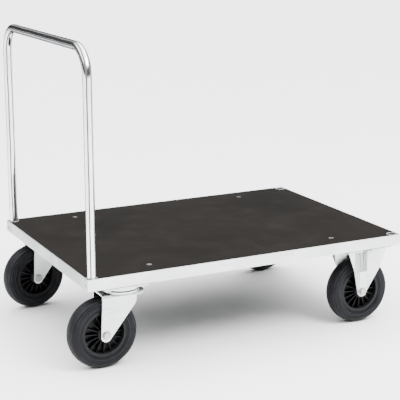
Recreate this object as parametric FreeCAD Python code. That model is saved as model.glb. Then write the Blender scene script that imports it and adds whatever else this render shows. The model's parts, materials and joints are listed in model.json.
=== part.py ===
import FreeCAD, Part
import math
import os

# Platform cart with a plug-in tube bow, two swivel casters and two fixed casters.
# Millimetres. +Z is up and the floor is z = 0. The bow stands at the -X end,
# and the origin is the middle of the cart's footprint.

V = FreeCAD.Vector

# Deck and frame
DECK_LENGTH = 1000.0
DECK_WIDTH = 700.0
DECK_TOP = 270.0
DECK_CENTRE_X = 20.0
BOARD_THICKNESS = 12.0
SHEET = 3.0
RAIL_HEIGHT = 32.0
RAIL_FOOT = 25.0
RAIL_LEDGE = 15.0
RAIL_CORNER_RADIUS = 2.0

X_HANDLE = DECK_CENTRE_X - DECK_LENGTH / 2
X_FAR = DECK_CENTRE_X + DECK_LENGTH / 2
Y_SIDE = DECK_WIDTH / 2
RAIL_BOTTOM = DECK_TOP - RAIL_HEIGHT
BOARD_BOTTOM = DECK_TOP - BOARD_THICKNESS
FOOT_TOP = RAIL_BOTTOM + SHEET

# Corner sockets
SOCKET_INSET = 18.5
SOCKET_OUTER_R = SOCKET_INSET - SHEET
SOCKET_BORE_R = 12.8
BOARD_CORNER_CUT = 40.0
BOARD_SOCKET_GAP = 0.7
SOCKET_X = {"handle": X_HANDLE + SOCKET_INSET, "far": X_FAR - SOCKET_INSET}
SOCKET_Y = {"front": -Y_SIDE + SOCKET_INSET, "rear": Y_SIDE - SOCKET_INSET}

# Set screws that lock the bow
SET_SCREW_R = 4.0
SET_SCREW_Z = 251.0
SET_SCREW_HEX = 4.0

# Caster channels, the hat sections under the board
PLATE_TOP = RAIL_BOTTOM - SHEET
CHANNEL_HALF_LENGTH = Y_SIDE - 4.0
CHANNEL_WALL_HALF_LENGTH = 312.0
CHANNEL_FLANGE_HALF_LENGTH = 331.0
CHANNEL_OUTER_INSET = 30.0
CHANNEL_HANDLE_INNER_X = -285.0
CHANNEL_HANDLE_FLANGE_X = -240.0
CHANNEL_FAR_INNER_X = 325.0
CHANNEL_FAR_FLANGE_X = 285.0
BRACE_HALF_WIDTH = 20.0

# Deck bolts
DECK_BOLT_X = {"handle": DECK_CENTRE_X - 295.0, "far": DECK_CENTRE_X + 295.0}
DECK_BOLT_Y = {"front": -288.0, "rear": 288.0}
DECK_BOLT_R = 4.0
DECK_BOLT_HEAD_R = 7.5
DECK_BOLT_HEAD_SINK = 2.2
DECK_NUT_FLATS = 13.0
DECK_NUT_HEIGHT = 6.5
HOLE_CLEARANCE = 0.25

# Bow handle
TUBE_R = 12.5
TUBE_WALL = 2.0
HANDLE_TOP = 890.0
BEND_R = 75.0
HANDLE_FOOT_GAP = 0.2
PLUG_FLANGE = 2.0
PLUG_LENGTH = 17.0

# Wheels
WHEEL_R = 100.0
WHEEL_HALF_WIDTH = 25.0
SIDEWALL_BEADS = ((88.0, 23.7), (74.0, 24.0))
SIDEWALL_BEAD_R = 1.0
BEAD_R = 62.0
FLANGE_SEAT_R = 66.0
FLANGE_R = 65.7
FLANGE_INNER_R = 57.0
FLANGE_IN = 18.0
FLANGE_OUT = 21.5
BARREL_R = 61.9
BARREL_INNER_R = 58.5
WEB_HALF = 3.0
HUB_R = 20.0
HUB_HALF_LENGTH = 27.5
BUSH_SEAT_R = 10.05
BUSH_R = 10.0
RIB_COUNT = 16
RIB_THICKNESS = 2.2
RIB_OUT_AT_HUB = 19.0
RIB_OUT_AT_BARREL = 12.0

# Axles
AXLE_R = 6.0
AXLE_RUNNING_GAP = 0.05
AXLE_FLATS = 18.0
AXLE_HEAD_HEIGHT = 7.5
AXLE_NUT_HEIGHT = 10.0
AXLE_END = 3.0

# Fork and bracket legs are blanked from sheets that reach below their round ends.
BLANK_BOTTOM = 60.0

# Caster plates
PLATE_LENGTH = 135.0
PLATE_WIDTH = 110.0
PLATE_THICKNESS = 4.0
PLATE_CORNER_R = 8.0
PLATE_BOTTOM = PLATE_TOP - PLATE_THICKNESS
BOLT_SPACING_X = 105.0
BOLT_SPACING_Y = 80.0
PLATE_BOLT_R = 5.0
PLATE_BOLT_FLATS = 17.0
PLATE_BOLT_HEAD = 6.4
PLATE_NUT_HEIGHT = 6.5
PLATE_BOLT_TAIL = 1.7

# Swivel casters
SWIVEL_X = -364.0
CASTER_Y = 291.0
TRAIL = 57.0
SWIVEL_REST_ANGLE = {"front": 0.0, "rear": 8.4}
FORK_HALF_WIDTH = 35.0
FORK_SHEET = 4.0
FORK_TOP = 213.0
FORK_BEND_R = 9.0
FORK_FRONT_X = 33.0
FORK_REAR_X = -66.0
FORK_SHOULDER = (33.0, 184.0)
FORK_SHOULDER_R = 30.0
FORK_END_R = 14.5
FORK_END_DROP = 4.5
NOSE_SKIRT = 10.0
DISH_R = 52.0
DISH_FLOOR = 3.5
DISH_HEIGHT = 6.0
DISH_RIM = 4.0
DISH_EDGE_R = 2.0
CUP_OUTER_R = 54.0
CUP_INNER_R = 51.0
CUP_DEPTH = 10.0
LOWER_RACE_R = 45.0
LOWER_RACE_INNER_R = 30.0
LOWER_RACE_HEIGHT = 9.9
BALL_COUNT = 20
BALL_R = 3.2
BALL_CIRCLE_R = 38.0
BALL_Z = 226.5
RACE_RING_OUTER_R = 42.0
RACE_RING_INNER_R = 34.0
RACE_RING_HEIGHT = 3.0
KINGPIN_R = 7.0
KINGPIN_RUNNING_GAP = 0.06
KINGPIN_COLLAR_R = 11.0
KINGPIN_COLLAR_HEIGHT = 5.0
KINGPIN_HEAD_R = 13.0
KINGPIN_HEAD_HEIGHT = 7.5
KINGPIN_HEAD_GAP = 0.5

# Fixed casters
FIXED_X = 406.5
BRACKET_SHEET = 3.5
BRACKET_WEB_OUT = 32.0
BRACKET_WEB_HALF = 16.5
BRACKET_RIDGE_OUT = PLATE_WIDTH / 2
BRACKET_RIDGE_HALF = 45.0
BRACKET_TOP_HALF = 65.5
BRACKET_BEND_R = 5.0
BRACKET_END_R = 15.5
STEP_Z = 162.0
STEP_DEPTH = 1.5
STEP_BELOW = 88.0


def box(x0, x1, y0, y1, z0, z1):
    low = V(min(x0, x1), min(y0, y1), min(z0, z1))
    return Part.makeBox(abs(x1 - x0), abs(y1 - y0), abs(z1 - z0), low)


def rod(radius, z0, z1, x=0.0, y=0.0):
    return Part.makeCylinder(radius, z1 - z0, V(x, y, z0))


def ring(outer, inner, z0, z1, x=0.0, y=0.0):
    return rod(outer, z0, z1, x, y).cut(rod(inner, z0 - 1, z1 + 1, x, y))


def cross_rod(radius, y0, y1, x, z):
    return Part.makeCylinder(radius, y1 - y0, V(x, y0, z), V(0, 1, 0))


def hexagon(flats, base, direction, height):
    corner_r = flats / math.sqrt(3)
    side = V(1, 0, 0)
    other = direction.cross(side)
    points = []
    for k in range(7):
        a = math.radians(60 * k + 30)
        points.append(base + side * (corner_r * math.cos(a)) + other * (corner_r * math.sin(a)))
    prism = Part.Face(Part.makePolygon(points)).extrude(direction * height)
    # A turned cone takes the sharp corners off, as on a real bolt head.
    blunt = Part.makeCone(corner_r + height * 0.4, flats * 0.47, height * 1.05, base, direction)
    return prism.common(blunt)


def fuse(shapes):
    whole = shapes[0].fuse(shapes[1:]) if len(shapes) > 1 else shapes[0]
    return whole.removeSplitter()


def place(shape, x, y, angle=0.0):
    moved = shape.copy()
    moved.rotate(V(0, 0, 0), V(0, 0, 1), angle)
    moved.translate(V(x, y, 0))
    return moved


def save(name, shape):
    shape.exportStep("parts/" + name + ".step")


def outline_prism(edges, half_width):
    face = Part.Face(Part.Wire(edges))
    return face.extrude(V(0, 2 * half_width, 0))


def tangent_point(start, centre, radius, turn):
    dx = start[0] - centre[0]
    dz = start[1] - centre[1]
    a = math.atan2(dz, dx) + turn * math.acos(radius / math.hypot(dx, dz))
    return (centre[0] + radius * math.cos(a), centre[1] + radius * math.sin(a))


def leg_outline(rear_edge, front_edge, centre, end_r, half_width):
    """Side view of a fork leg: two edges run down to a round end about a centre."""
    rear_end = tangent_point(rear_edge[-1], centre, end_r, 1)
    front_end = tangent_point(front_edge[-1], centre, end_r, -1)
    bottom = (centre[0], centre[1] - end_r)

    def at(p):
        return V(p[0], -half_width, p[1])

    corners = [rear_end] + rear_edge[::-1] + front_edge + [front_end]
    edges = [Part.LineSegment(at(a), at(b)).toShape() for a, b in zip(corners, corners[1:])]
    edges.append(Part.Arc(at(front_end), at(bottom), at(rear_end)).toShape())
    return outline_prism(edges, half_width)


def pressed_u(x0, x1, z_top):
    """A sheet bent into an upside-down U, open below, running along X."""
    inner_half = FORK_HALF_WIDTH - FORK_SHEET
    outer = box(x0, x1, -FORK_HALF_WIDTH, FORK_HALF_WIDTH, BLANK_BOTTOM, z_top)
    inner = box(x0 - 1, x1 + 1, -inner_half, inner_half, BLANK_BOTTOM - 1, z_top - FORK_SHEET)

    def rounded(shape, z, radius):
        picked = []
        for edge in shape.Edges:
            b = edge.BoundBox
            if abs(b.ZMin - z) < 0.01 and abs(b.ZMax - z) < 0.01 and b.YLength < 0.01:
                picked.append(edge)
        return shape.makeFillet(radius, picked)

    outer = rounded(outer, z_top, FORK_BEND_R)
    inner = rounded(inner, z_top - FORK_SHEET, FORK_BEND_R - FORK_SHEET)
    return outer.cut(inner)


def caster_plate():
    plate = box(-PLATE_LENGTH / 2, PLATE_LENGTH / 2, -PLATE_WIDTH / 2, PLATE_WIDTH / 2,
                PLATE_BOTTOM, PLATE_TOP)
    upright = [e for e in plate.Edges if e.BoundBox.ZLength > PLATE_THICKNESS / 2]
    return plate.makeFillet(PLATE_CORNER_R, upright)


def plate_bolt_places():
    places = []
    for sx in (-1, 1):
        for sy in (-1, 1):
            places.append((sx * BOLT_SPACING_X / 2, sy * BOLT_SPACING_Y / 2))
    return places


def cut_plate_holes(shape, x=0.0, y=0.0):
    for bx, by in plate_bolt_places():
        shape = shape.cut(rod(PLATE_BOLT_R + HOLE_CLEARANCE, PLATE_BOTTOM - 1, FOOT_TOP + 1,
                              x + bx, y + by))
    return shape


def plate_bolts(x, y):
    """Four bolts and nuts; the outer pair also clamps the rail's foot."""
    solids = []
    for bx, by in plate_bolt_places():
        seat = FOOT_TOP if abs(y + by) > Y_SIDE - SHEET - RAIL_FOOT else RAIL_BOTTOM
        px = x + bx
        py = y + by
        head = hexagon(PLATE_BOLT_FLATS, V(px, py, seat), V(0, 0, 1), PLATE_BOLT_HEAD)
        tail = PLATE_BOTTOM - PLATE_NUT_HEIGHT - PLATE_BOLT_TAIL
        solids.append(fuse([head, rod(PLATE_BOLT_R, tail, seat + 1, px, py)]))
        nut = hexagon(PLATE_BOLT_FLATS, V(px, py, PLATE_BOTTOM), V(0, 0, -1), PLATE_NUT_HEIGHT)
        bore = rod(PLATE_BOLT_R + 0.1, tail - 1, PLATE_BOTTOM + 1, px, py)
        solids.append(nut.cut(bore))
    return Part.makeCompound(solids)


def revolve_about_axle(edges):
    face = Part.Face(Part.Wire(edges))
    return face.revolve(V(0, 0, 0), V(0, 1, 0), 360)


def tyre():
    """Solid tyre about the Y axis, with a seat for the rim's flanges."""
    w = WHEEL_HALF_WIDTH

    def at(y, r):
        return V(r, y, 0)

    shoulder = (w - 5.0, WHEEL_R - 6.0)
    wall_mid = (w, WHEEL_R - 18.0)
    wall_low = (w - 1.2, FLANGE_SEAT_R + 5.0)
    lip = (w - 3.2, FLANGE_SEAT_R)
    edges = [Part.Arc(at(-shoulder[0], shoulder[1]), at(0, WHEEL_R),
                      at(shoulder[0], shoulder[1])).toShape()]
    edges.append(Part.Arc(at(*shoulder), at(*wall_mid), at(*wall_low)).toShape())
    chain = [wall_low, lip, (FLANGE_IN, FLANGE_SEAT_R), (FLANGE_IN, BEAD_R),
             (-FLANGE_IN, BEAD_R), (-FLANGE_IN, FLANGE_SEAT_R), (-lip[0], lip[1]),
             (-wall_low[0], wall_low[1])]
    for a, b in zip(chain, chain[1:]):
        edges.append(Part.LineSegment(at(*a), at(*b)).toShape())
    edges.append(Part.Arc(at(-wall_low[0], wall_low[1]), at(-wall_mid[0], wall_mid[1]),
                          at(-shoulder[0], shoulder[1])).toShape())
    body = revolve_about_axle(edges)
    beads = [body]
    for side in (-1, 1):
        for r, y in SIDEWALL_BEADS:
            beads.append(Part.makeTorus(r, SIDEWALL_BEAD_R, V(0, side * y, 0), V(0, 1, 0)))
    return fuse(beads)


def rim():
    """Barrel with two flanges, a centre web, ribs on both faces and a hub."""
    def hoop(outer, inner, y0, y1):
        return cross_rod(outer, y0, y1, 0, 0).cut(cross_rod(inner, y0 - 1, y1 + 1, 0, 0))

    solids = [hoop(BARREL_R, BARREL_INNER_R, -FLANGE_IN, FLANGE_IN)]
    solids.append(hoop(FLANGE_R, FLANGE_INNER_R, FLANGE_IN, FLANGE_OUT))
    solids.append(hoop(FLANGE_R, FLANGE_INNER_R, -FLANGE_OUT, -FLANGE_IN))
    solids.append(hoop(BARREL_INNER_R + 1, BUSH_SEAT_R, -WEB_HALF, WEB_HALF))
    solids.append(hoop(HUB_R, BUSH_SEAT_R, -HUB_HALF_LENGTH, HUB_HALF_LENGTH))
    half = RIB_THICKNESS / 2
    r0 = HUB_R - 2
    r1 = BARREL_INNER_R + 1
    corners = [V(r0, -RIB_OUT_AT_HUB, -half), V(r1, -RIB_OUT_AT_BARREL, -half),
               V(r1, RIB_OUT_AT_BARREL, -half), V(r0, RIB_OUT_AT_HUB, -half),
               V(r0, -RIB_OUT_AT_HUB, -half)]
    rib = Part.Face(Part.makePolygon(corners)).extrude(V(0, 0, RIB_THICKNESS))
    for k in range(RIB_COUNT):
        turned = rib.copy()
        turned.rotate(V(0, 0, 0), V(0, 1, 0), 360.0 * k / RIB_COUNT)
        solids.append(turned)
    return fuse(solids)


def hub_bush():
    outer = cross_rod(BUSH_R, -HUB_HALF_LENGTH, HUB_HALF_LENGTH, 0, 0)
    return outer.cut(cross_rod(AXLE_R + AXLE_RUNNING_GAP, -HUB_HALF_LENGTH - 1,
                               HUB_HALF_LENGTH + 1, 0, 0))


def axle_bolt(x, seat):
    head = hexagon(AXLE_FLATS, V(x, -seat, WHEEL_R), V(0, -1, 0), AXLE_HEAD_HEIGHT)
    end = seat + AXLE_NUT_HEIGHT + AXLE_END
    return fuse([head, cross_rod(AXLE_R, -seat - 1, end, x, WHEEL_R)])


def axle_nut(x, seat):
    nut = hexagon(AXLE_FLATS, V(x, seat, WHEEL_R), V(0, 1, 0), AXLE_NUT_HEIGHT)
    return nut.cut(cross_rod(AXLE_R + 0.1, seat - 1, seat + AXLE_NUT_HEIGHT + 1, x, WHEEL_R))


def cut_axle_holes(shape, x):
    reach = FORK_HALF_WIDTH + 1
    return shape.cut(cross_rod(AXLE_R + HOLE_CLEARANCE, -reach, reach, x, WHEEL_R))


def crown_nose():
    """Round front of the crown, with the same bend as the U and a short skirt."""
    def capped(radius, z0, z1, bend):
        shape = rod(radius, z0, z1, FORK_FRONT_X)
        upper = [e for e in shape.Edges if abs(e.BoundBox.ZMin - z1) < 0.01 and e.Closed]
        return shape.makeFillet(bend, upper)

    outer = capped(FORK_HALF_WIDTH, FORK_TOP - NOSE_SKIRT, FORK_TOP, FORK_BEND_R)
    inner = capped(FORK_HALF_WIDTH - FORK_SHEET, FORK_TOP - NOSE_SKIRT - 1,
                   FORK_TOP - FORK_SHEET, FORK_BEND_R - FORK_SHEET)
    front = box(FORK_FRONT_X, FORK_FRONT_X + FORK_HALF_WIDTH + 1, -FORK_HALF_WIDTH - 1,
                FORK_HALF_WIDTH + 1, FORK_TOP - NOSE_SKIRT - 1, FORK_TOP + 1)
    return outer.cut(inner).common(front)


def crown_dish():
    """Shallow bowl on the crown, which closes up to the cup above it."""
    bowl = rod(DISH_R, FORK_TOP, FORK_TOP + DISH_HEIGHT)
    lower = [e for e in bowl.Edges if abs(e.BoundBox.ZMax - FORK_TOP) < 0.01 and e.Closed]
    bowl = bowl.makeFillet(DISH_EDGE_R, lower)
    return bowl.cut(rod(DISH_R - DISH_RIM, FORK_TOP + DISH_FLOOR, FORK_TOP + DISH_HEIGHT + 1))


def swivel_fork():
    end = (-TRAIL, WHEEL_R - FORK_END_DROP)
    side = leg_outline([(FORK_REAR_X, FORK_TOP)], [(FORK_FRONT_X, FORK_TOP), FORK_SHOULDER],
                       end, FORK_END_R, FORK_HALF_WIDTH + 5)
    shoulder = []
    for edge in side.Edges:
        b = edge.BoundBox
        if b.YLength > FORK_HALF_WIDTH and math.hypot(b.XMin - FORK_SHOULDER[0],
                                                      b.ZMin - FORK_SHOULDER[1]) < 0.01:
            shoulder.append(edge)
    side = side.makeFillet(FORK_SHOULDER_R, shoulder)
    fork = pressed_u(end[0] - FORK_END_R - 5, FORK_FRONT_X, FORK_TOP).common(side)
    race = ring(LOWER_RACE_R, LOWER_RACE_INNER_R, FORK_TOP - 1, FORK_TOP + LOWER_RACE_HEIGHT)
    fork = fuse([fork, crown_nose(), crown_dish(), race])
    fork = fork.cut(rod(KINGPIN_R + KINGPIN_RUNNING_GAP, FORK_TOP - 20, FORK_TOP + 5))
    return cut_axle_holes(fork, -TRAIL)


def top_plate():
    cup = ring(CUP_OUTER_R, CUP_INNER_R, PLATE_BOTTOM - CUP_DEPTH, PLATE_BOTTOM + 1)
    plate = fuse([caster_plate(), cup])
    plate = plate.cut(rod(KINGPIN_R + 0.05, PLATE_BOTTOM - 1, PLATE_TOP + 1))
    return cut_plate_holes(plate)


def kingpin():
    head_top = FORK_TOP - FORK_SHEET - KINGPIN_HEAD_GAP
    shaft = rod(KINGPIN_R, head_top - KINGPIN_HEAD_HEIGHT, PLATE_TOP)
    head = rod(KINGPIN_HEAD_R, head_top - KINGPIN_HEAD_HEIGHT, head_top)
    collar = rod(KINGPIN_COLLAR_R, PLATE_BOTTOM - KINGPIN_COLLAR_HEIGHT, PLATE_BOTTOM)
    return fuse([shaft, head, collar])


def ball_race():
    solids = [ring(RACE_RING_OUTER_R, RACE_RING_INNER_R, PLATE_BOTTOM - RACE_RING_HEIGHT,
                   PLATE_BOTTOM)]
    for k in range(BALL_COUNT):
        a = 2 * math.pi * k / BALL_COUNT
        centre = V(BALL_CIRCLE_R * math.cos(a), BALL_CIRCLE_R * math.sin(a), BALL_Z)
        solids.append(Part.makeSphere(BALL_R, centre))
    return fuse(solids)


def bracket_leg_section():
    """Plan of one leg: a web close to the wheel, and wings that flare to the plate's corners."""
    ridge = BRACKET_RIDGE_OUT
    web = BRACKET_WEB_OUT
    reach = PLATE_LENGTH / 2
    outer = [(-reach, ridge), (-BRACKET_RIDGE_HALF, ridge), (-BRACKET_WEB_HALF, web),
             (BRACKET_WEB_HALF, web), (BRACKET_RIDGE_HALF, ridge), (reach, ridge)]
    inner = [(x, y - BRACKET_SHEET) for x, y in outer]
    points = [V(x, y, BLANK_BOTTOM) for x, y in outer + inner[::-1] + outer[:1]]
    height = PLATE_BOTTOM + 1 - BLANK_BOTTOM
    section = Part.Face(Part.makePolygon(points)).extrude(V(0, 0, height))
    bends = []
    for edge in section.Edges:
        b = edge.BoundBox
        if b.ZLength > 1 and abs(b.XMin) < reach - 1:
            bends.append(edge)
    return section.makeFillet(BRACKET_BEND_R, bends)


def fixed_bracket():
    rear = [(-BRACKET_TOP_HALF, PLATE_BOTTOM + 1)]
    front = [(BRACKET_TOP_HALF, PLATE_BOTTOM + 1)]
    side = leg_outline(rear, front, (0.0, WHEEL_R), BRACKET_END_R, PLATE_WIDTH / 2 + 5)
    leg = bracket_leg_section().common(side)
    # Below the step the web stands a little prouder, as the press leaves it.
    pad = box(-BRACKET_WEB_HALF + BRACKET_BEND_R, BRACKET_WEB_HALF - BRACKET_BEND_R,
              BRACKET_WEB_OUT - 1, BRACKET_WEB_OUT + STEP_DEPTH, STEP_BELOW, STEP_Z)
    leg = leg.fuse(pad.common(side))
    other = leg.mirror(V(0, 0, 0), V(0, 1, 0))
    bracket = fuse([caster_plate(), leg, other])
    return cut_axle_holes(cut_plate_holes(bracket), 0.0)


def wheel_parts(prefix, x, y, angle):
    for name, shape in (("tyre", tyre()), ("rim", rim()), ("hub_bush", hub_bush())):
        lifted = shape.copy()
        lifted.translate(V(x, 0, WHEEL_R))
        save(prefix + "_" + name, place(lifted, *y, angle=angle))


def socket_cuts():
    return [rod(SOCKET_OUTER_R, RAIL_BOTTOM - 1, DECK_TOP + 1, x, y)
            for x in SOCKET_X.values() for y in SOCKET_Y.values()]


def cut_all(shape, cutters):
    for cutter in cutters:
        shape = shape.cut(cutter)
    return shape


def long_rail(side):
    """Front or rear rail: lip, web, a ledge for the board and a foot for the casters."""
    y_out = side * Y_SIDE
    y_in = side * (Y_SIDE - SHEET)
    web = box(X_HANDLE, X_FAR, y_out, y_in, RAIL_BOTTOM, DECK_TOP)
    corners = []
    for edge in web.Edges:
        b = edge.BoundBox
        if b.ZLength > 1 and abs(abs(b.YMin) - Y_SIDE) < 0.01:
            corners.append(edge)
    web = web.makeFillet(RAIL_CORNER_RADIUS, corners)
    foot = box(SOCKET_X["handle"], SOCKET_X["far"], y_in, y_in - side * RAIL_FOOT,
               RAIL_BOTTOM, FOOT_TOP)
    ledge = box(SOCKET_X["handle"], SOCKET_X["far"], y_in, y_in - side * RAIL_LEDGE,
                BOARD_BOTTOM - SHEET, BOARD_BOTTOM)
    rail = cut_all(fuse([web, foot, ledge]), socket_cuts())
    for x in (SWIVEL_X, FIXED_X):
        rail = cut_plate_holes(rail, x, side * CASTER_Y)
    return rail


def end_rail(x_out, inward):
    x_in = x_out + inward * SHEET
    y_in = Y_SIDE - SHEET
    web = box(x_out, x_in, -y_in, y_in, RAIL_BOTTOM, DECK_TOP)
    foot = box(x_in, x_in + inward * RAIL_FOOT, -y_in + RAIL_FOOT, y_in - RAIL_FOOT,
               RAIL_BOTTOM, FOOT_TOP)
    ledge = box(x_in, x_in + inward * RAIL_LEDGE, -y_in + RAIL_LEDGE, y_in - RAIL_LEDGE,
                BOARD_BOTTOM - SHEET, BOARD_BOTTOM)
    return cut_all(fuse([web, foot, ledge]), socket_cuts())


def set_screw_hole(y, radius, x0, x1):
    return Part.makeCylinder(radius, x1 - x0, V(x0, y, SET_SCREW_Z), V(1, 0, 0))


def corner_triangle(sx, sy):
    """The corner that is sawn off the board, over its full thickness."""
    x = (X_FAR if sx > 0 else X_HANDLE) - sx * SHEET
    y = sy * (Y_SIDE - SHEET)
    z = BOARD_BOTTOM - 1
    points = [V(x, y, z), V(x - sx * BOARD_CORNER_CUT, y, z), V(x, y - sy * BOARD_CORNER_CUT, z),
              V(x, y, z)]
    return Part.Face(Part.makePolygon(points)).extrude(V(0, 0, BOARD_THICKNESS + 2))


def deck_board():
    board = box(X_HANDLE + SHEET, X_FAR - SHEET, -Y_SIDE + SHEET, Y_SIDE - SHEET,
                BOARD_BOTTOM, DECK_TOP)
    for sx, x in ((-1, SOCKET_X["handle"]), (1, SOCKET_X["far"])):
        for sy, y in ((-1, SOCKET_Y["front"]), (1, SOCKET_Y["rear"])):
            board = board.cut(corner_triangle(sx, sy))
            board = board.cut(rod(SOCKET_OUTER_R + BOARD_SOCKET_GAP, BOARD_BOTTOM - 1,
                                  DECK_TOP + 1, x, y))
    for x in DECK_BOLT_X.values():
        for y in DECK_BOLT_Y.values():
            board = board.cut(rod(DECK_BOLT_R + HOLE_CLEARANCE, BOARD_BOTTOM - 1,
                                  DECK_TOP + 1, x, y))
            board = board.cut(rod(DECK_BOLT_HEAD_R + 0.1, DECK_TOP - DECK_BOLT_HEAD_SINK,
                                  DECK_TOP + 1, x, y))
    return board


def channel(outer_x, inner_x, flange_x, caster_x):
    """Hat section across the frame; the caster plates bolt under its web."""
    step = SHEET if inner_x > outer_x else -SHEET
    solids = [box(outer_x, inner_x, -CHANNEL_HALF_LENGTH, CHANNEL_HALF_LENGTH,
                  PLATE_TOP, RAIL_BOTTOM)]
    solids.append(box(outer_x, outer_x + step, -CHANNEL_WALL_HALF_LENGTH,
                      CHANNEL_WALL_HALF_LENGTH, PLATE_TOP, BOARD_BOTTOM))
    solids.append(box(inner_x - step, inner_x, -CHANNEL_WALL_HALF_LENGTH,
                      CHANNEL_WALL_HALF_LENGTH, PLATE_TOP, BOARD_BOTTOM))
    solids.append(box(inner_x - step, flange_x, -CHANNEL_WALL_HALF_LENGTH,
                      CHANNEL_WALL_HALF_LENGTH, BOARD_BOTTOM - SHEET, BOARD_BOTTOM))
    shape = fuse(solids)
    for side in (-1, 1):
        shape = cut_plate_holes(shape, caster_x, side * CASTER_Y)
    for x in DECK_BOLT_X.values():
        for y in DECK_BOLT_Y.values():
            shape = shape.cut(rod(DECK_BOLT_R + HOLE_CLEARANCE, BOARD_BOTTOM - SHEET - 1,
                                  BOARD_BOTTOM + 1, x, y))
    return shape


def centre_brace():
    z_low = RAIL_BOTTOM
    w = BRACE_HALF_WIDTH
    outer = box(CHANNEL_HANDLE_FLANGE_X, CHANNEL_FAR_FLANGE_X, -w, w, z_low, BOARD_BOTTOM)
    inner = box(CHANNEL_HANDLE_FLANGE_X - 1, CHANNEL_FAR_FLANGE_X + 1, -w + SHEET, w - SHEET,
                z_low - 1, BOARD_BOTTOM - SHEET)
    return outer.cut(inner)


def socket(x, y):
    """Open tube with a closed foot."""
    tube = ring(SOCKET_OUTER_R, SOCKET_BORE_R, RAIL_BOTTOM, DECK_TOP, x, y)
    return fuse([tube, rod(SOCKET_OUTER_R, RAIL_BOTTOM, FOOT_TOP, x, y)])


def deck_bolt(x, y):
    """Flush round head let into the board, with a hex recess."""
    seat = DECK_TOP - DECK_BOLT_HEAD_SINK
    tail = BOARD_BOTTOM - SHEET - DECK_NUT_HEIGHT - 1.5
    head = rod(DECK_BOLT_HEAD_R, seat, DECK_TOP, x, y)
    bolt = fuse([head, rod(DECK_BOLT_R, tail, seat + 1, x, y)])
    return bolt.cut(hexagon(5.0, V(x, y, DECK_TOP - 1.4), V(0, 0, 1), 3.0))


def deck_nuts():
    nuts = []
    top = BOARD_BOTTOM - SHEET
    for x in DECK_BOLT_X.values():
        for y in DECK_BOLT_Y.values():
            nut = hexagon(DECK_NUT_FLATS, V(x, y, top), V(0, 0, -1), DECK_NUT_HEIGHT)
            nuts.append(nut.cut(rod(DECK_BOLT_R + 0.1, top - 20, top + 1, x, y)))
    return Part.makeCompound(nuts)


def handle_tube():
    x = SOCKET_X["handle"]
    y = SOCKET_Y["rear"]
    foot = FOOT_TOP + HANDLE_FOOT_GAP + PLUG_FLANGE
    bar = HANDLE_TOP - TUBE_R
    r = BEND_R
    k = r * (1 - math.sqrt(0.5))
    path = Part.Wire([
        Part.LineSegment(V(x, -y, foot), V(x, -y, bar - r)).toShape(),
        Part.Arc(V(x, -y, bar - r), V(x, -y + k, bar - k), V(x, -y + r, bar)).toShape(),
        Part.LineSegment(V(x, -y + r, bar), V(x, y - r, bar)).toShape(),
        Part.Arc(V(x, y - r, bar), V(x, y - k, bar - k), V(x, y, bar - r)).toShape(),
        Part.LineSegment(V(x, y, bar - r), V(x, y, foot)).toShape(),
    ])
    solids = []
    for radius in (TUBE_R, TUBE_R - TUBE_WALL):
        section = Part.Wire(Part.makeCircle(radius, V(x, -y, foot), V(0, 0, 1)))
        solids.append(path.makePipeShell([section], True, False))
    return solids[0].cut(solids[1])


def handle_plugs():
    plugs = []
    z = FOOT_TOP + HANDLE_FOOT_GAP
    x = SOCKET_X["handle"]
    for y in SOCKET_Y.values():
        cap = rod(TUBE_R - 0.2, z, z + PLUG_FLANGE, x, y)
        stem = rod(TUBE_R - TUBE_WALL - 0.1, z, z + PLUG_LENGTH, x, y)
        plugs.append(fuse([cap, stem]))
    return Part.makeCompound(plugs)


def set_screws():
    screws = []
    inner_x = SOCKET_X["handle"] - TUBE_R - 0.5
    for y in SOCKET_Y.values():
        outer_x = X_HANDLE - 1.0
        screw = set_screw_hole(y, SET_SCREW_R, outer_x, inner_x)
        recess = hexagon(SET_SCREW_HEX, V(outer_x + 2.0, y, SET_SCREW_Z), V(0, 0, 1), 1.0)
        recess = recess.copy()
        recess.rotate(V(outer_x + 2.0, y, SET_SCREW_Z), V(0, 1, 0), -90)
        screws.append(screw.cut(recess.fuse(set_screw_hole(y, 1.9, outer_x - 1, outer_x + 1.5))))
    return Part.makeCompound(screws)


def build_frame():
    hole = [set_screw_hole(y, SET_SCREW_R + 0.05, X_HANDLE - 1, SOCKET_X["handle"])
            for y in SOCKET_Y.values()]
    save("deck_board", deck_board())
    save("rail_front", long_rail(-1))
    save("rail_rear", long_rail(1))
    save("rail_handle_end", cut_all(end_rail(X_HANDLE, 1), hole))
    save("rail_far_end", end_rail(X_FAR, -1))
    save("channel_handle_end", channel(X_HANDLE + CHANNEL_OUTER_INSET, CHANNEL_HANDLE_INNER_X,
                                       CHANNEL_HANDLE_FLANGE_X, SWIVEL_X))
    save("channel_far_end", channel(X_FAR - CHANNEL_OUTER_INSET, CHANNEL_FAR_INNER_X,
                                    CHANNEL_FAR_FLANGE_X, FIXED_X))
    save("centre_brace", centre_brace())
    for end, x in SOCKET_X.items():
        for side, y in SOCKET_Y.items():
            tag = end + "_" + side
            part = socket(x, y)
            if end == "handle":
                part = cut_all(part, hole)
            save("socket_" + tag, part)
            save("deck_bolt_" + tag, deck_bolt(DECK_BOLT_X[end], DECK_BOLT_Y[side]))
    save("deck_nuts", deck_nuts())
    save("set_screws", set_screws())


def build_handle():
    save("handle_tube", handle_tube())
    save("handle_plugs", handle_plugs())


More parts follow.
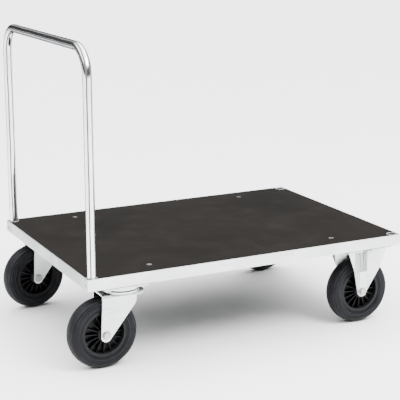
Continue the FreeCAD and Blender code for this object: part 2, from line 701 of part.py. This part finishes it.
def build_swivel(side, sy):
    prefix = "swivel_" + side
    y = sy * CASTER_Y
    angle = SWIVEL_REST_ANGLE[side]
    save(prefix + "_top_plate", place(top_plate(), SWIVEL_X, y))
    save(prefix + "_plate_bolts", plate_bolts(SWIVEL_X, y))
    save(prefix + "_kingpin", place(kingpin(), SWIVEL_X, y))
    save(prefix + "_ball_race", place(ball_race(), SWIVEL_X, y))
    save(prefix + "_fork", place(swivel_fork(), SWIVEL_X, y, angle))
    save(prefix + "_axle_bolt", place(axle_bolt(-TRAIL, FORK_HALF_WIDTH), SWIVEL_X, y, angle))
    save(prefix + "_axle_nut", place(axle_nut(-TRAIL, FORK_HALF_WIDTH), SWIVEL_X, y, angle))
    wheel_parts(prefix, -TRAIL, (SWIVEL_X, y), angle)


def build_fixed(side, sy):
    prefix = "fixed_" + side
    y = sy * CASTER_Y
    save(prefix + "_bracket", place(fixed_bracket(), FIXED_X, y))
    save(prefix + "_plate_bolts", plate_bolts(FIXED_X, y))
    seat = BRACKET_WEB_OUT + STEP_DEPTH
    save(prefix + "_axle_bolt", place(axle_bolt(0.0, seat), FIXED_X, y))
    save(prefix + "_axle_nut", place(axle_nut(0.0, seat), FIXED_X, y))
    wheel_parts(prefix, 0.0, (FIXED_X, y), 0.0)


os.makedirs("parts", exist_ok=True)
build_frame()
build_handle()
for side_name, side_sign in (("front", -1), ("rear", 1)):
    build_swivel(side_name, side_sign)
    build_fixed(side_name, side_sign)
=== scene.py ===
import json
import math

import bmesh
import bpy
from mathutils import Matrix, Vector

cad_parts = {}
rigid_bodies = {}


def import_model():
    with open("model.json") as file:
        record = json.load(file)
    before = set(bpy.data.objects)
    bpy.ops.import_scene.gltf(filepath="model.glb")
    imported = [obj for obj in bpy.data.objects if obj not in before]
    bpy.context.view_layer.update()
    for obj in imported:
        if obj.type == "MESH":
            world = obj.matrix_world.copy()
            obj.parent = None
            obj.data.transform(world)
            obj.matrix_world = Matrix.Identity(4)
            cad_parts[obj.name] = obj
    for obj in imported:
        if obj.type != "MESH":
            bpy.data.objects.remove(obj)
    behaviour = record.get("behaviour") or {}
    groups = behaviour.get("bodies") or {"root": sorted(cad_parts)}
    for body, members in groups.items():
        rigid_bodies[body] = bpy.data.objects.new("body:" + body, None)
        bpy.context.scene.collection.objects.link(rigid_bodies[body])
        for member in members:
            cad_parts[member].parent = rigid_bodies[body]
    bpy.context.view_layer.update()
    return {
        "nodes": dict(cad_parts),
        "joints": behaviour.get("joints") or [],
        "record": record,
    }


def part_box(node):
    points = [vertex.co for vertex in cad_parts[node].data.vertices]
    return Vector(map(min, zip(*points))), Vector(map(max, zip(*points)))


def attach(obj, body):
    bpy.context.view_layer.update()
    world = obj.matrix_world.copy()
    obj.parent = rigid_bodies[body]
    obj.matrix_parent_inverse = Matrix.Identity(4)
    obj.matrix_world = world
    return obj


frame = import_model()

# The looks of a platform cart: materials on every CAD node, small trim pieces
# (weld beads and axle washers), floor, light and camera. Metres.

SIDES = {"front": -1, "rear": 1}
ENDS = {"handle": -1, "far": 1}
WHEELS = ["swivel_front", "swivel_rear", "fixed_front", "fixed_rear"]
JOINTS = {joint["name"]: joint for joint in frame["joints"]}
X = (1.0, 0.0, 0.0)
Y = (0.0, 1.0, 0.0)
Z = (0.0, 0.0, 1.0)

# Sizes of the CAD parts that the looks line up with.
AXLE_NUT_HEIGHT = 0.010
BOW_BEND = 0.075
BRACKET_WEB_HALF = 0.0165
BRACKET_STEP = 0.162
FLANGE_INNER = 0.057

# Radii of the painted highlight rings on a tyre. The first two are moulded beads in CAD, the last is
# not.
SIDEWALL_HIGHLIGHT_RINGS = (0.074, 0.088, 0.0945)

# Counts and sizes that only the looks have.
BOW_LINES = 6
PLY_PITCH = 0.0028
TREAD_RIDGE_PITCH = 0.0045
FLANGE_SHADE_FROM = 0.0643
CORNER_BEAD_WIDTH = 0.0011
CHANNEL_BEAD_WIDTH = 0.0034
SOCKET_BEAD_WIDTH = 0.0027


# ---------------------------------------------------------------- node helpers

class Shader:
    """A material being wired up. Each method that adds a node returns that node's output."""

    def __init__(self, name):
        self.material = bpy.data.materials.new(name)
        self.material.use_nodes = True
        self.tree = self.material.node_tree
        self.tree.nodes.clear()
        self.bsdf = self.tree.nodes.new("ShaderNodeBsdfPrincipled")
        output = self.tree.nodes.new("ShaderNodeOutputMaterial")
        self.tree.links.new(self.bsdf.outputs["BSDF"], output.inputs["Surface"])
        self.place = self.tree.nodes.new("ShaderNodeTexCoord").outputs["Object"]

    def wire(self, value, socket):
        if isinstance(value, bpy.types.NodeSocket):
            self.tree.links.new(value, socket)
        else:
            socket.default_value = value

    def math(self, kind, a, b=0.0, clamp=False):
        node = self.tree.nodes.new("ShaderNodeMath")
        node.operation = kind
        node.use_clamp = clamp
        self.wire(a, node.inputs[0])
        self.wire(b, node.inputs[1])
        return node.outputs[0]

    def vector(self, kind, a, b=None):
        node = self.tree.nodes.new("ShaderNodeVectorMath")
        node.operation = kind
        self.wire(a, node.inputs[0])
        if b is not None:
            self.wire(b, node.inputs[1])
        return node.outputs["Value" if kind in ("LENGTH", "DOT_PRODUCT") else "Vector"]

    def along(self, axis):
        return self.vector("DOT_PRODUCT", self.place, axis)

    def stretched(self, scale):
        return self.vector("MULTIPLY", self.place, scale)

    def noise(self, scale, detail=4.0, roughness=0.55, vector=None):
        node = self.tree.nodes.new("ShaderNodeTexNoise")
        self.wire(vector or self.place, node.inputs["Vector"])
        node.inputs["Scale"].default_value = scale
        node.inputs["Detail"].default_value = detail
        node.inputs["Roughness"].default_value = roughness
        return node.outputs["Fac"]

    def open_air(self, reach):
        """1 on open faces, falling to 0 in crevices; the materials paint shade there by it."""
        node = self.tree.nodes.new("ShaderNodeAmbientOcclusion")
        node.samples = 8
        node.inputs["Distance"].default_value = reach
        return node.outputs["AO"]

    def spread(self, value, low, high, to_low=0.0, to_high=1.0):
        node = self.tree.nodes.new("ShaderNodeMapRange")
        node.inputs["From Min"].default_value = low
        node.inputs["From Max"].default_value = high
        node.inputs["To Min"].default_value = to_low
        node.inputs["To Max"].default_value = to_high
        self.wire(value, node.inputs["Value"])
        return node.outputs["Result"]

    def blend(self, share, a, b):
        node = self.tree.nodes.new("ShaderNodeMix")
        node.data_type = "RGBA"
        self.wire(share, node.inputs["Factor"])
        self.wire(a, node.inputs["A"])
        self.wire(b, node.inputs["B"])
        return node.outputs["Result"]

    def bevel(self, radius):
        node = self.tree.nodes.new("ShaderNodeBevel")
        node.samples = 4
        node.inputs["Radius"].default_value = radius
        return node.outputs["Normal"]

    def bump(self, height, strength, distance, normal=None):
        node = self.tree.nodes.new("ShaderNodeBump")
        node.inputs["Strength"].default_value = strength
        node.inputs["Distance"].default_value = distance
        self.wire(height, node.inputs["Height"])
        if normal is not None:
            self.wire(normal, node.inputs["Normal"])
        return node.outputs["Normal"]

    def set(self, **values):
        for name, value in values.items():
            self.wire(value, self.bsdf.inputs[name.replace("_", " ")])


def colour(red, green, blue):
    """A display colour, 0 to 255, as the linear value a shader takes."""
    linear = []
    for channel in (red, green, blue):
        c = channel / 255
        linear.append(c / 12.92 if c <= 0.04045 else ((c + 0.055) / 1.055) ** 2.4)
    return (*linear, 1.0)


# ------------------------------------------------------------------- materials

def zinc_steel(name, bright, dull, rough, web=None, foot=None):
    """Bright zinc plate on sheet steel: cloudy patches, fine grain, painted shade in the corners.

    A bracket passes web, the place of its painted shade; a cup passes foot, its lowest height.
    """
    s = Shader(name)
    clouds = s.noise(9.0, detail=6.0, roughness=0.65)
    grain = s.noise(900.0, detail=3.0, roughness=0.7)
    rolled = s.noise(60.0, detail=3.0, vector=s.stretched((1.0, 1.0, 9.0)))
    marks = s.spread(s.noise(34.0, detail=3.0, vector=s.stretched((0.3, 0.3, 3.0))), 0.62, 0.72)
    share = s.math("ADD", s.spread(clouds, 0.32, 0.68, 0.0, 0.65), s.spread(grain, 0.3, 0.7, 0.0, 0.35))
    ground = s.blend(share, bright, dull)
    ground = s.blend(s.math("MULTIPLY", marks, 0.22), ground, colour(128, 130, 131))
    # A bracket's recessed web gets painted shade.
    if web:
        ground = streaked_web(s, ground, *web)
    if foot:
        # A painted shadow line along the cup's lower edge, standing for the shade in the narrow gap
        # under it.
        gap_shade = s.spread(s.along(Z), foot + 0.0024, foot + 0.0034, 0.95, 0.0)
        ground = s.blend(gap_shade, ground, colour(22, 23, 25))
    # Painted shade in the crevices and in the gaps between parts.
    crevice_shade = s.spread(s.open_air(0.03), 0.15, 0.75, 0.96, 0.0)
    ground = s.blend(crevice_shade, ground, colour(34, 35, 37))
    s.set(Base_Color=ground, Metallic=0.85)
    s.set(Roughness=s.math("ADD", s.spread(grain, 0.3, 0.7, rough, rough + 0.12),
                           s.spread(clouds, 0.3, 0.7, 0.0, 0.12)))
    height = s.math("ADD", grain, s.math("MULTIPLY", rolled, 0.6))
    s.set(Normal=s.bump(height, 0.25, 0.0002, s.bevel(0.0008)))
    return s.material


def streaked_web(s, ground, centre, half, step):
    """Painted shade in a bracket's recessed web, above its step, in upright streaks that stand for dark
    reflections.
    """
    aside = s.math("ABSOLUTE", s.math("SUBTRACT", s.along(X), centre))
    inside = s.math("MULTIPLY", s.spread(aside, half - 0.002, half + 0.001, 1.0, 0.0),
                    s.spread(s.along(Z), step - 0.001, step + 0.002))
    streaks = s.noise(420.0, detail=2.0, vector=s.stretched((1.0, 1.0, 0.04)))
    web_shade = s.blend(s.spread(streaks, 0.35, 0.65), colour(176, 179, 180), colour(88, 90, 92))
    return s.blend(s.math("MULTIPLY", inside, 0.92), ground, web_shade)


def bow_steel():
    """Bright plated tube with equal, evenly spaced dark lines along it: legs, bends and bar alike.

    The lines are painted. They stand for the dark bands that such a tube reflects in a studio.
    """
    s = Shader("bow_steel")
    low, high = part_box("handle_tube")
    radius = (high.x - low.x) / 2
    # How far a point is past each bend's start, then how far out it is from the centre line.
    past_y = s.math("SUBTRACT", s.math("ABSOLUTE", s.along(Y)), high.y - radius - BOW_BEND)
    past_z = s.math("SUBTRACT", s.along(Z), high.z - radius - BOW_BEND)
    squares = [s.math("POWER", s.math("MAXIMUM", past, 0.0), 2.0) for past in (past_y, past_z)]
    out = s.math("SUBTRACT", s.math("SQRT", s.math("ADD", *squares)), BOW_BEND)
    angle = s.math("ARCTAN2", out, s.math("SUBTRACT", s.along(X), (low.x + high.x) / 2))
    wander = s.spread(s.noise(16.0, detail=3.0), 0.3, 0.7, -0.05, 0.05)
    angle = s.math("ADD", angle, wander)
    wave = s.math("COSINE", s.math("MULTIPLY", angle, BOW_LINES))
    lines = s.spread(wave, 0.45, 0.75, 0.0, 0.9)
    clouds = s.noise(11.0, detail=4.0)
    ground = s.blend(s.spread(clouds, 0.35, 0.65), colour(244, 245, 246), colour(226, 228, 230))
    ground = s.blend(lines, ground, colour(26, 27, 29))
    s.set(Base_Color=ground, Metallic=s.math("SUBTRACT", 1.0, lines))
    s.set(Specular_IOR_Level=0.0, Specular_Tint=(0.02, 0.02, 0.03, 1.0))
    s.set(Roughness=s.spread(clouds, 0.3, 0.7, 0.08, 0.15))
    s.set(Normal=s.bump(s.noise(700.0, detail=2.0), 0.06, 0.0001))
    return s.material


def fastener_steel():
    """Grey steel of the small hardware, with painted shade in the crevices."""
    s = Shader("fastener_steel")
    clouds = s.noise(60.0, detail=4.0)
    grain = s.noise(1500.0, detail=2.0)
    ground = s.blend(s.spread(clouds, 0.3, 0.7), colour(200, 200, 198), colour(158, 157, 153))
    # Painted shade in the crevices.
    crevice_shade = s.spread(s.open_air(0.012), 0.2, 0.8, 0.8, 0.0)
    s.set(Base_Color=s.blend(crevice_shade, ground, colour(66, 66, 65)), Metallic=0.95)
    s.set(Roughness=s.math("ADD", s.spread(grain, 0.3, 0.7, 0.18, 0.30),
                           s.spread(clouds, 0.3, 0.7, 0.0, 0.08)))
    s.set(Normal=s.bump(grain, 0.2, 0.0001, s.bevel(0.0005)))
    return s.material


def deck_film():
    """Dark phenolic film on plywood: mottle, pressed grain, light scuffs, veneers at the edge."""
    s = Shader("deck_film")
    mottle = s.noise(3.5, detail=6.0, roughness=0.6)
    smudge = s.noise(14.0, detail=5.0)
    fine = s.noise(650.0, detail=3.0)
    scuff_x = s.noise(22.0, detail=2.0, vector=s.stretched((0.12, 4.5, 1.0)))
    scuff_y = s.noise(18.0, detail=2.0, vector=s.stretched((4.0, 0.15, 1.0)))
    scuffs = s.math("ADD", s.spread(scuff_x, 0.70, 0.76), s.spread(scuff_y, 0.72, 0.78), clamp=True)
    film = s.blend(s.spread(mottle, 0.3, 0.7), colour(13, 11, 9), colour(19, 16, 14))
    film = s.blend(s.math("MULTIPLY", s.spread(smudge, 0.5, 0.8), 0.22), film, colour(34, 31, 28))
    film = s.blend(s.math("MULTIPLY", scuffs, 0.16), film, colour(66, 62, 58))
    low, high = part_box("deck_board")
    height = s.along(Z)
    inside = s.math("MULTIPLY", s.spread(height, low.z + 0.0003, low.z + 0.0006),
                    s.spread(height, high.z - 0.0003, high.z - 0.0006))
    veneer = s.math("SINE", s.math("MULTIPLY", height, 2 * math.pi / PLY_PITCH))
    wood = s.blend(s.spread(veneer, -0.4, 0.4), colour(92, 80, 68), colour(60, 52, 46))
    s.set(Base_Color=s.blend(inside, film, wood), Specular_IOR_Level=0.04)
    s.set(Roughness=s.math("ADD", s.spread(mottle, 0.3, 0.7, 0.36, 0.46),
                           s.math("MULTIPLY", scuffs, 0.15)))
    relief = s.math("ADD", fine, s.math("MULTIPLY", scuffs, -0.8))
    s.set(Normal=s.bump(relief, 0.35, 0.0002, s.bevel(0.0006)))
    return s.material


def wheel_place(s, prefix):
    """Distance along the axle and from the axle, for one wheel's materials."""
    joint = JOINTS[prefix + "_roll"]
    local = s.vector("SUBTRACT", s.place, tuple(joint["pos_m"]))
    along = s.vector("DOT_PRODUCT", local, tuple(joint["axis"]))
    reach = s.vector("LENGTH", local)
    square = s.math("SUBTRACT", s.math("POWER", reach, 2.0), s.math("POWER", along, 2.0))
    return along, s.math("SQRT", square)


def tyre_rubber(prefix):
    """Black rubber: fine ridges and dust on the tread; on the sidewall, painted highlight rings and a
    painted shadow line for a groove.
    """
    s = Shader("tyre_rubber_" + prefix)
    along, radius = wheel_place(s, prefix)
    bloom = s.noise(24.0, detail=6.0, roughness=0.65)
    pores = s.noise(1100.0, detail=3.0, roughness=0.7)
    tread = s.spread(radius, 0.090, 0.0985)
    ridges = s.math("SINE", s.math("MULTIPLY", along, 2 * math.pi / TREAD_RIDGE_PITCH))
    ground = s.blend(s.spread(bloom, 0.3, 0.7), colour(15, 16, 18), colour(24, 25, 28))
    ground = s.blend(s.math("MULTIPLY", tread, 0.25), ground, colour(32, 32, 34))
    # Painted highlights along the sidewall's rings, broken into patches.
    patches = s.spread(bloom, 0.40, 0.62, 0.05, 0.65)
    for ring in SIDEWALL_HIGHLIGHT_RINGS:
        off = s.math("ABSOLUTE", s.math("SUBTRACT", radius, ring))
        ring_highlight = s.math("MULTIPLY", s.spread(off, 0.0002, 0.0008, 1.0, 0.0), patches)
        ground = s.blend(ring_highlight, ground, colour(66, 68, 72))
    # A painted shadow line on the sidewall, standing for a groove.
    groove_shade = s.math("MULTIPLY", s.spread(radius, 0.0700, 0.0706),
                    s.spread(radius, 0.0716, 0.0722, 1.0, 0.0))
    ground = s.blend(s.math("MULTIPLY", groove_shade, 0.7), ground, colour(6, 6, 7))
    s.set(Base_Color=ground, Specular_IOR_Level=0.1)
    s.set(Roughness=s.math("ADD", s.spread(bloom, 0.3, 0.7, 0.36, 0.48),
                           s.math("MULTIPLY", tread, 0.12)))
    height = s.math("ADD", pores, s.math("MULTIPLY", s.math("MULTIPLY", ridges, tread), 1.6))
    s.set(Normal=s.bump(height, 0.35, 0.0003, s.bevel(0.0008)))
    return s.material


def rim_plastic(prefix):
    """Black moulded rim: a greyer flange with painted shade at its outer edge, and painted highlights
    on the ribs' edges.
    """
    s = Shader("rim_plastic_" + prefix)
    along, radius = wheel_place(s, prefix)
    mottle = s.noise(45.0, detail=4.0)
    grain = s.noise(1300.0, detail=3.0)
    flange = s.spread(radius, FLANGE_INNER - 0.0005, FLANGE_INNER + 0.0005)
    # A painted shadow along the flange's outer edge.
    edge_shade = s.spread(radius, FLANGE_SHADE_FROM - 0.0003, FLANGE_SHADE_FROM + 0.0003)
    # The ribs stand less proud further out, so this sum is the same along a free edge.
    proud = s.math("ADD", s.math("ABSOLUTE", along), s.math("MULTIPLY", radius, 0.177))
    ground = s.blend(s.spread(mottle, 0.3, 0.7), colour(2, 2, 3), colour(5, 5, 6))
    # Painted highlights along the ribs' free edges.
    rib_highlight = s.math("MULTIPLY", s.spread(proud, 0.0220, 0.0225), 0.6)
    ground = s.blend(rib_highlight, ground, colour(34, 35, 37))
    ground = s.blend(flange, ground, colour(24, 25, 27))
    ground = s.blend(edge_shade, ground, colour(4, 4, 5))
    s.set(Base_Color=ground, Specular_IOR_Level=0.12)
    s.set(Roughness=s.math("ADD", s.spread(grain, 0.3, 0.7, 0.22, 0.32),
                           s.spread(mottle, 0.3, 0.7, 0.0, 0.08)))
    s.set(Normal=s.bump(grain, 0.25, 0.0002, s.bevel(0.0006)))
    return s.material


def plug_plastic():
    """Black plastic of the plugs in the bow's feet."""
    s = Shader("plug_plastic")
    mottle = s.noise(45.0, detail=4.0)
    s.set(Base_Color=s.blend(s.spread(mottle, 0.3, 0.7), colour(14, 14, 15), colour(24, 24, 26)))
    s.set(Roughness=s.spread(mottle, 0.3, 0.7, 0.35, 0.5))
    s.set(Normal=s.bump(s.noise(1300.0, detail=3.0), 0.25, 0.0002, s.bevel(0.0006)))
    return s.material


def weld_metal():
    """Grey, uneven metal of the weld beads."""
    s = Shader("weld_metal")
    clouds = s.noise(180.0, detail=5.0)
    s.set(Base_Color=s.blend(s.spread(clouds, 0.3, 0.7), colour(196, 197, 198),
                             colour(150, 150, 150)), Metallic=0.85)
    s.set(Roughness=s.spread(clouds, 0.3, 0.7, 0.30, 0.50))
    s.set(Normal=s.bump(clouds, 0.5, 0.0004))
    return s.material


def studio_floor():
    """Plain pale floor with a barely visible mottle."""
    s = Shader("studio_floor")
    grain = s.noise(3.0, detail=5.0)
    s.set(Base_Color=s.blend(s.spread(grain, 0.3, 0.7), colour(249, 249, 249), colour(246, 246, 246)))
    s.set(Roughness=0.8, Specular_IOR_Level=0.1)
    return s.material


# ----------------------------------------------------------------- trim pieces

def new_piece(name, mesh, material, body):
    """Put a smooth-shaded trim piece in the scene, riding on a body."""
    piece = bpy.data.objects.new(name, mesh)
    bpy.context.scene.collection.objects.link(piece)
    mesh.materials.append(material)
    for polygon in mesh.polygons:
        polygon.use_smooth = True
    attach(piece, body)
    return piece


def weld_bead(points, width, seed):
    """A rippled bead swept along a line of points, half sunk in the joint."""
    mesh = bpy.data.meshes.new("weld")
    bm = bmesh.new()
    around = 10
    rings = []
    count = len(points)
    for i, point in enumerate(points):
        ahead = points[min(i + 1, count - 1)] - points[max(i - 1, 0)]
        ahead.normalize()
        side = ahead.orthogonal().normalized()
        other = ahead.cross(side)
        ripple = 1.0 + 0.13 * math.sin(i * 2.1 + seed) + 0.05 * math.sin(i * 5.3 + 2 * seed)
        taper = min(1.0, 0.35 + 0.35 * min(i, count - 1 - i))
        r = width / 2 * ripple * taper
        ring = []
        for k in range(around):
            a = 2 * math.pi * k / around
            ring.append(bm.verts.new(point + side * (r * math.cos(a)) + other * (r * math.sin(a))))
        rings.append(ring)
    for one, two in zip(rings, rings[1:]):
        for k in range(around):
            m = (k + 1) % around
            bm.faces.new((one[k], one[m], two[m], two[k]))
    bm.faces.new(list(reversed(rings[0])))
    bm.faces.new(rings[-1])
    bmesh.ops.recalc_face_normals(bm, faces=bm.faces)
    bm.to_mesh(mesh)
    bm.free()
    return mesh


def straight(start, end, step=0.0016):
    """Evenly spaced points from start to end."""
    start = Vector(start)
    end = Vector(end)
    count = max(4, int((end - start).length / step))
    return [start.lerp(end, i / count) for i in range(count + 1)]


def washer(centre, axis, inner, outer, thickness):
    """A flat washer with softened rims, standing off a face along its axis."""
    profile = [(inner, 0.0), (outer, 0.0), (outer, thickness * 0.75),
               (outer - thickness * 0.3, thickness), (inner + thickness * 0.2, thickness),
               (inner, thickness * 0.8)]
    side = axis.orthogonal().normalized()
    other = axis.cross(side)
    around = 48
    mesh = bpy.data.meshes.new("washer")
    bm = bmesh.new()
    rings = []
    for k in range(around):
        a = 2 * math.pi * k / around
        out = side * math.cos(a) + other * math.sin(a)
        rings.append([bm.verts.new(centre + out * r + axis * h) for r, h in profile])
    for k in range(around):
        one = rings[k]
        two = rings[(k + 1) % around]
        for i in range(len(profile)):
            m = (i + 1) % len(profile)
            bm.faces.new((one[i], one[m], two[m], two[i]))
    bmesh.ops.recalc_face_normals(bm, faces=bm.faces)
    bm.to_mesh(mesh)
    bm.free()
    return mesh


# ----------------------------------------------------------------- build looks

def dress_cad():
    """Give each CAD node its own material where it has one, and its slot's material elsewhere."""
    bright = (colour(238, 240, 240), colour(208, 211, 212), 0.22)
    materials = {
        "zinc_steel": zinc_steel("zinc_steel", *bright),
        "bow_steel": bow_steel(),
        "deck_film": deck_film(),
        # The rims have their own plastic, so this one is left for the bow's plugs.
        "rim_plastic": plug_plastic(),
        "fastener_steel": fastener_steel(),
    }
    low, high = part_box("fixed_front_bracket")
    web = ((low.x + high.x) / 2, BRACKET_WEB_HALF, BRACKET_STEP)
    own = {"fixed_front_bracket": zinc_steel("zinc_steel_bracket_shaded", *bright, web)}
    own["fixed_rear_bracket"] = own["fixed_front_bracket"]
    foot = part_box("swivel_front_top_plate")[0].z
    own["swivel_front_top_plate"] = zinc_steel("zinc_steel_cup", *bright, foot=foot)
    own["swivel_rear_top_plate"] = own["swivel_front_top_plate"]
    # The end rails get a darker copy of the zinc: painted shade on faces that get less light.
    own["rail_handle_end"] = zinc_steel("zinc_steel_end_shaded", colour(196, 199, 200),
                                        colour(150, 153, 154), 0.30)
    own["rail_far_end"] = own["rail_handle_end"]
    # The channels under the deck get a far darker copy of the zinc: painted shade under the deck.
    own["channel_far_end"] = zinc_steel("zinc_steel_under_shaded", colour(104, 106, 108),
                                        colour(70, 72, 74), 0.40)
    own["channel_handle_end"] = own["channel_far_end"]
    for prefix in WHEELS:
        own[prefix + "_tyre"] = tyre_rubber(prefix)
        own[prefix + "_rim"] = rim_plastic(prefix)
    for part in frame["record"]["subparts"]:
        node = part["node"]
        slots = frame["nodes"][node].data.materials
        slots.clear()
        slots.append(own.get(node) or materials[part["material_slot"]])
    return materials


def add_frame_welds(material):
    """Corner seams of the frame, and the stitches that hold the channels under it."""
    sunk = 0.0008
    for end, sx in ENDS.items():
        low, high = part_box("rail_" + end + "_end")
        x = (low.x if sx < 0 else high.x) - sx * sunk
        for side, sy in SIDES.items():
            y = high.y if sy > 0 else low.y
            points = straight((x, y, low.z + 0.003), (x, y, high.z - 0.001))
            mesh = weld_bead(points, CORNER_BEAD_WIDTH, seed=sx + 2 * sy)
            new_piece("corner_weld_" + end + "_" + side, mesh, material, "chassis")
    stitches = 4
    stitch_length = 0.022
    first_share = 0.12
    share_step = 0.2
    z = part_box("rail_front")[0].z - 0.0002
    for end in ENDS:
        low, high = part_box("channel_" + end + "_end")
        for side, sy in SIDES.items():
            y = sy * high.y
            for k in range(stitches):
                x = low.x + (high.x - low.x) * (first_share + share_step * k)
                points = straight((x, y, z), (x + stitch_length, y, z))
                mesh = weld_bead(points, CHANNEL_BEAD_WIDTH, seed=k + sy)
                name = "channel_weld_" + end + "_" + side + "_" + str(k)
                new_piece(name, mesh, material, "chassis")


def add_socket_welds(material):
    """Upright beads in the narrow gaps where each socket meets its two rails."""
    sideways = 0.0075
    sunk = 0.0009
    for end, sx in ENDS.items():
        for side, sy in SIDES.items():
            low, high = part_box("socket_" + end + "_" + side)
            middle = (low + high) / 2
            reach = (high.x - low.x) / 2 - sunk
            places = (("x", middle.x + sx * reach, middle.y - sy * sideways),
                      ("y", middle.x - sx * sideways, middle.y + sy * reach))
            for k, (label, x, y) in enumerate(places):
                points = straight((x, y, low.z + 0.004), (x, y, high.z - 0.0015))
                mesh = weld_bead(points, SOCKET_BEAD_WIDTH, seed=k + sx + 2 * sy)
                name = "socket_weld_" + end + "_" + side + "_" + label
                new_piece(name, mesh, material, "chassis")


def axle_seat(prefix, axis, centre):
    """How far from the wheel's mid-plane the axle's head and nut sit."""
    low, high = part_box(prefix + "_axle_nut")
    return ((low + high) / 2 - centre).dot(axis) - AXLE_NUT_HEIGHT / 2


def add_axle_washers(material):
    """A washer under the head and the nut of each wheel's axle."""
    inner = 0.0085
    outer = 0.0125
    thickness = 0.0013
    for prefix in WHEELS:
        joint = JOINTS[prefix + "_roll"]
        axis = Vector(joint["axis"])
        centre = Vector(joint["pos_m"])
        half = axle_seat(prefix, axis, centre)
        for label, way in (("head", -1), ("nut", 1)):
            mesh = washer(centre + axis * (way * half), axis * way, inner, outer, thickness)
            new_piece(prefix + "_washer_" + label, mesh, material, joint["parent"])


def add_floor():
    """A flat floor at height zero that runs past every view's edge."""
    reach = 60.0
    mesh = bpy.data.meshes.new("floor")
    corners = [(-reach, -reach, 0), (reach, -reach, 0), (reach, reach, 0), (-reach, reach, 0)]
    mesh.from_pydata(corners, [], [(0, 1, 2, 3)])
    mesh.materials.append(studio_floor())
    floor = bpy.data.objects.new("floor", mesh)
    bpy.context.scene.collection.objects.link(floor)


def add_light(name, place, target, size, power):
    """A round soft light at a place, aimed at a target."""
    data = bpy.data.lights.new(name, "AREA")
    data.shape = "DISK"
    data.size = size
    data.energy = power
    light = bpy.data.objects.new(name, data)
    bpy.context.scene.collection.objects.link(light)
    light.location = place
    light.rotation_mode = "QUATERNION"
    light.rotation_quaternion = (Vector(target) - Vector(place)).to_track_quat("-Z", "Y")


def add_studio():
    """A bright soft dome overhead, dim near the horizon, and one soft key light."""
    world = bpy.data.worlds.new("studio")
    world.use_nodes = True
    tree = world.node_tree
    split = tree.nodes.new("ShaderNodeSeparateXYZ")
    tree.links.new(tree.nodes.new("ShaderNodeTexCoord").outputs["Generated"], split.inputs[0])
    dome = tree.nodes.new("ShaderNodeMapRange")
    dome.interpolation_type = "SMOOTHSTEP"
    for name, value in (("From Min", 0.35), ("From Max", 0.75), ("To Min", 0.14), ("To Max", 6.2)):
        dome.inputs[name].default_value = value
    tree.links.new(split.outputs["Z"], dome.inputs["Value"])
    background = tree.nodes["Background"]
    background.inputs["Color"].default_value = (1.0, 1.0, 1.0, 1.0)
    tree.links.new(dome.outputs["Result"], background.inputs["Strength"])
    bpy.context.scene.world = world
    add_light("key", place=(1.3, -2.9, 3.9), target=(0.1, 0, 0.2), size=2.2, power=260)


def add_camera():
    """Long-lens three-quarter view from the bow end, a little above the bow."""
    place = Vector((-1.547, -3.147, 1.223))
    yaw = math.radians(26.54)
    pitch = math.radians(12.9)
    roll = math.radians(-0.15)
    ahead = Vector((math.sin(yaw) * math.cos(pitch), math.cos(yaw) * math.cos(pitch), -math.sin(pitch)))
    right = Vector((math.cos(yaw), -math.sin(yaw), 0))
    up = right.cross(ahead)
    tilted = right * math.cos(roll) + up * math.sin(roll)
    data = bpy.data.cameras.new("camera")
    data.sensor_width = 36.0
    data.lens = 106.8
    data.shift_y = -0.05
    data.clip_end = 200.0
    camera = bpy.data.objects.new("camera", data)
    bpy.context.scene.collection.objects.link(camera)
    turn = Matrix((tilted, tilted.cross(ahead), -ahead)).transposed()
    camera.matrix_world = Matrix.Translation(place) @ turn.to_4x4()
    bpy.context.scene.camera = camera


materials = dress_cad()
welds = weld_metal()
add_frame_welds(welds)
add_socket_welds(welds)
add_axle_washers(materials["fastener_steel"])
add_floor()
add_studio()
add_camera()
